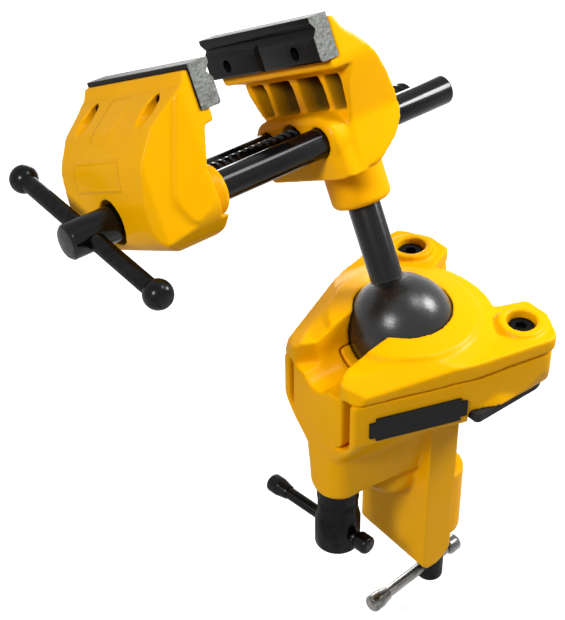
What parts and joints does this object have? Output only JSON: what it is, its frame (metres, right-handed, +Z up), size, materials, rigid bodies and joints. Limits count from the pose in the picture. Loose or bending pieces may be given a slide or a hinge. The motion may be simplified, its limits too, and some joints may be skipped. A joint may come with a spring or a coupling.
{
  "type": "ball joint table vise",
  "caption": "Small bench vise on a lockable ball joint, with a screw clamp for a table edge, guide rods, grooved jaw plates and sliding cross bars.",
  "frame": {"origin": "on the clamp screw's axis at the clamp seat, the underside of the table pad", "axes": "+X towards the badge side along the jaw width, -Y towards the user, +Z up along the clamp screw"},
  "size_m": [0.1404, 0.1664, 0.2881],
  "materials": {
    "casting_paint": "gloss yellow paint on cast metal",
    "black_steel": "black oxide, lightly oiled",
    "jaw_steel": "black oxide with ground edges",
    "bright_steel": "dark plated steel, worn bright",
    "bolt_steel": "black screws",
    "seat_brass": "turned",
    "badge_black": "bare black plate",
    "pad_rubber": "dark grey rubber"
  },
  "bodies": {
    "base": {"base_body": "casting_paint", "socket_cap": "casting_paint", "cap_bolts": "bolt_steel", "table_pad": "pad_rubber", "badge_plate": "badge_black"},
    "swivel_seat": {"ball_seat": "seat_brass"},
    "stem": {"ball_stud": "black_steel"},
    "head": {"rear_jaw": "casting_paint", "rear_jaw_plate": "jaw_steel", "rear_plate_screws": "black_steel", "spindle_nut": "seat_brass", "stem_pin": "black_steel"},
    "sliding_jaw": {"front_jaw": "casting_paint", "front_jaw_plate": "jaw_steel", "front_plate_screws": "black_steel", "guide_rod_left": "black_steel", "guide_rod_right": "black_steel", "rod_pins": "black_steel"},
    "spindle_group": {"spindle": "black_steel", "thrust_washer": "black_steel", "spindle_collar": "black_steel", "collar_pin": "black_steel"},
    "spindle_bar_group": {"spindle_bar": "black_steel", "spindle_bar_ball": "black_steel"},
    "foot": {"clamp_foot": "black_steel"},
    "clamp_screw_group": {"clamp_screw": "black_steel"},
    "clamp_bar_group": {"clamp_bar": "bright_steel", "clamp_bar_knob": "bright_steel"},
    "lock_thrust": {"lock_collar": "black_steel"},
    "lock_screw_group": {"lock_screw": "black_steel"},
    "lock_bar_group": {"lock_bar": "black_steel", "lock_bar_knob": "black_steel"}
  },
  "joints": [
    {"name": "ball_swivel", "type": "hinge", "parent": "base", "child": "swivel_seat", "pos_m": [0, -0.0245, 0.024], "axis": [0, 0, 1], "continuous": true},
    {"name": "ball_tilt", "type": "hinge", "parent": "swivel_seat", "child": "stem", "pos_m": [0, -0.0245, 0.024], "axis": [0, 1, 0], "range_deg": [-11.4, 68.6]},
    {"name": "head_turn", "type": "hinge", "parent": "stem", "child": "head", "pos_m": [0, -0.0245, 0.024], "axis": [-0.4787, 0, 0.878], "continuous": true},
    {"name": "jaw_slide", "type": "slide", "parent": "head", "child": "sliding_jaw", "axis": [0, 1, 0], "range_m": [-0.03, 0.0423]},
    {"name": "spindle_turn", "type": "hinge", "parent": "sliding_jaw", "child": "spindle_group", "pos_m": [-0.03935, -0.1361, 0.09617], "axis": [0, 1, 0], "range_deg": [-3606, 5082]},
    {"name": "spindle_bar_slide", "type": "slide", "parent": "spindle_group", "child": "spindle_bar_group", "axis": [0.9998, 0, -0.0175], "range_m": [-0.03, 0.03]},
    {"name": "clamp_travel", "type": "slide", "parent": "base", "child": "foot", "axis": [0, 0, 1], "range_m": [-0.0259, 0.0209]},
    {"name": "clamp_turn", "type": "hinge", "parent": "foot", "child": "clamp_screw_group", "pos_m": [0, 0, -0.126], "axis": [0, 0, 1], "range_deg": [-5340, 4320]},
    {"name": "clamp_bar_slide", "type": "slide", "parent": "clamp_screw_group", "child": "clamp_bar_group", "axis": [-0.0872, 0.9962, 0], "range_m": [-0.0044, 0.0222]},
    {"name": "lock_travel", "type": "slide", "parent": "base", "child": "lock_thrust", "axis": [0, 0, 1], "range_m": [-0.0002, 0]},
    {"name": "lock_turn", "type": "hinge", "parent": "lock_thrust", "child": "lock_screw_group", "pos_m": [0, -0.056, -0.066], "axis": [0, 0, 1], "range_deg": [-50, 0]},
    {"name": "lock_bar_slide", "type": "slide", "parent": "lock_screw_group", "child": "lock_bar_group", "axis": [0.9903, 0.1392, 0], "range_m": [-0.0009, 0.0178]}
  ],
  "couplings": [
    {"joint": "spindle_turn", "follows": "jaw_slide", "rad_per_m": 2094.4},
    {"joint": "clamp_turn", "follows": "clamp_travel", "rad_per_m": 3590.4},
    {"joint": "lock_turn", "follows": "lock_travel", "rad_per_m": 4188.8}
  ]
}
